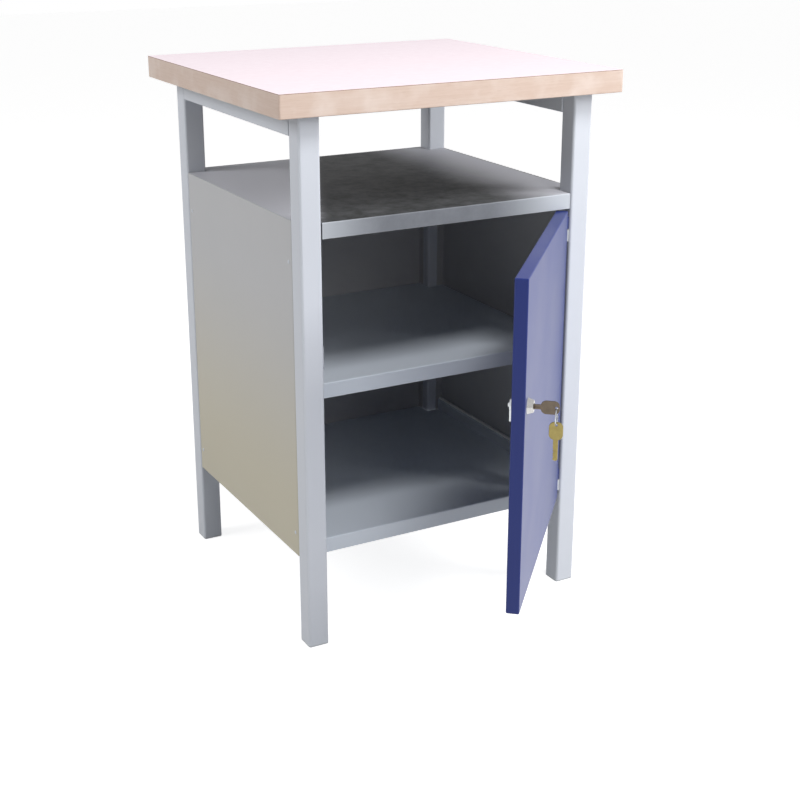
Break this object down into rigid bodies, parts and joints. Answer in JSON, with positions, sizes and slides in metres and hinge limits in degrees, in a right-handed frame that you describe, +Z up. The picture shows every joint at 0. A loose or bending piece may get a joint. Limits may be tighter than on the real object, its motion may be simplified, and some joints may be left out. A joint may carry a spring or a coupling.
{
  "type": "work table",
  "caption": "Work table with a laminated top, square-tube legs, an open shelf and a grey sheet-metal cabinet with a blue lockable door and keys",
  "frame": {"origin": "on the floor, midway between the four legs", "axes": "+Z up, +X to the right seen from the front, front of the table faces -Y"},
  "size_m": [0.6, 0.8689, 0.9],
  "materials": {
    "frame_paint": "light grey satin powder coat",
    "door_paint": "blue satin powder coat",
    "laminate": "pale hard laminate",
    "edge_wood": "pale beech, lacquered",
    "core_board": "raw particle board",
    "backing": "plain backing sheet",
    "foot_plastic": "grey moulded plastic",
    "zinc_steel": "bright zinc plating",
    "lock_chrome": "bright nickel",
    "key_brass": "worn brass"
  },
  "bodies": {
    "table": {"leg_front_left": "frame_paint", "foot_cap_front_left": "foot_plastic", "leg_front_right": "frame_paint", "foot_cap_front_right": "foot_plastic", "leg_rear_left": "frame_paint", "foot_cap_rear_left": "foot_plastic", "leg_rear_right": "frame_paint", "foot_cap_rear_right": "foot_plastic", "top_rail_left": "frame_paint", "top_rail_right": "frame_paint", "top_rail_rear": "frame_paint", "top_screws": "zinc_steel", "top_laminate": "laminate", "top_core": "core_board", "top_backing": "backing", "edge_strip_front": "edge_wood", "edge_strip_rear": "edge_wood", "edge_strip_left": "edge_wood", "edge_strip_right": "edge_wood", "side_panel_left": "frame_paint", "side_panel_right": "frame_paint", "back_panel": "frame_paint", "top_shelf": "frame_paint", "middle_shelf": "frame_paint", "bottom_shelf": "frame_paint", "floor_trim_left": "zinc_steel", "floor_trim_right": "zinc_steel", "shelf_runner_left": "frame_paint", "shelf_runner_right": "frame_paint", "hinge_post_upper": "zinc_steel", "hinge_post_lower": "zinc_steel", "hinge_washer_upper": "key_brass", "hinge_washer_lower": "key_brass", "lock_strike": "zinc_steel"},
    "door": {"door_pan": "door_paint", "door_stiffener": "door_paint", "hinge_sleeve_upper": "door_paint", "hinge_sleeve_lower": "door_paint", "lock_housing": "lock_chrome", "lock_nut": "zinc_steel"},
    "lock_core": {"lock_plug": "key_brass", "lock_cam": "zinc_steel", "cam_screw": "zinc_steel"},
    "key": {"key": "key_brass"},
    "ring": {"key_ring": "zinc_steel"},
    "spare_key": {"spare_key": "key_brass"}
  },
  "joints": [
    {"name": "door_hinge", "type": "hinge", "parent": "table", "child": "door", "pos_m": [0.2195, -0.2445, 0.198], "axis": [0, 0, 1], "range_deg": [-48, 52]},
    {"name": "lock_turn", "type": "hinge", "parent": "door", "child": "lock_core", "pos_m": [-0.04961, -0.56265, 0.484], "axis": [-0.7431, 0.6691, 0], "range_deg": [0, 90]},
    {"name": "key_slide", "type": "slide", "parent": "lock_core", "child": "key", "axis": [0.7431, -0.6691, 0], "range_m": [0, 0.026]},
    {"name": "ring_swing", "type": "hinge", "parent": "key", "child": "ring", "pos_m": [-0.02538, -0.58447, 0.484], "axis": [-0.6691, -0.7431, 0], "range_deg": [-12, 80]},
    {"name": "spare_swing", "type": "hinge", "parent": "ring", "child": "spare_key", "pos_m": [-0.02538, -0.58447, 0.4589], "axis": [-0.6691, -0.7431, 0], "range_deg": [-12, 40]}
  ]
}
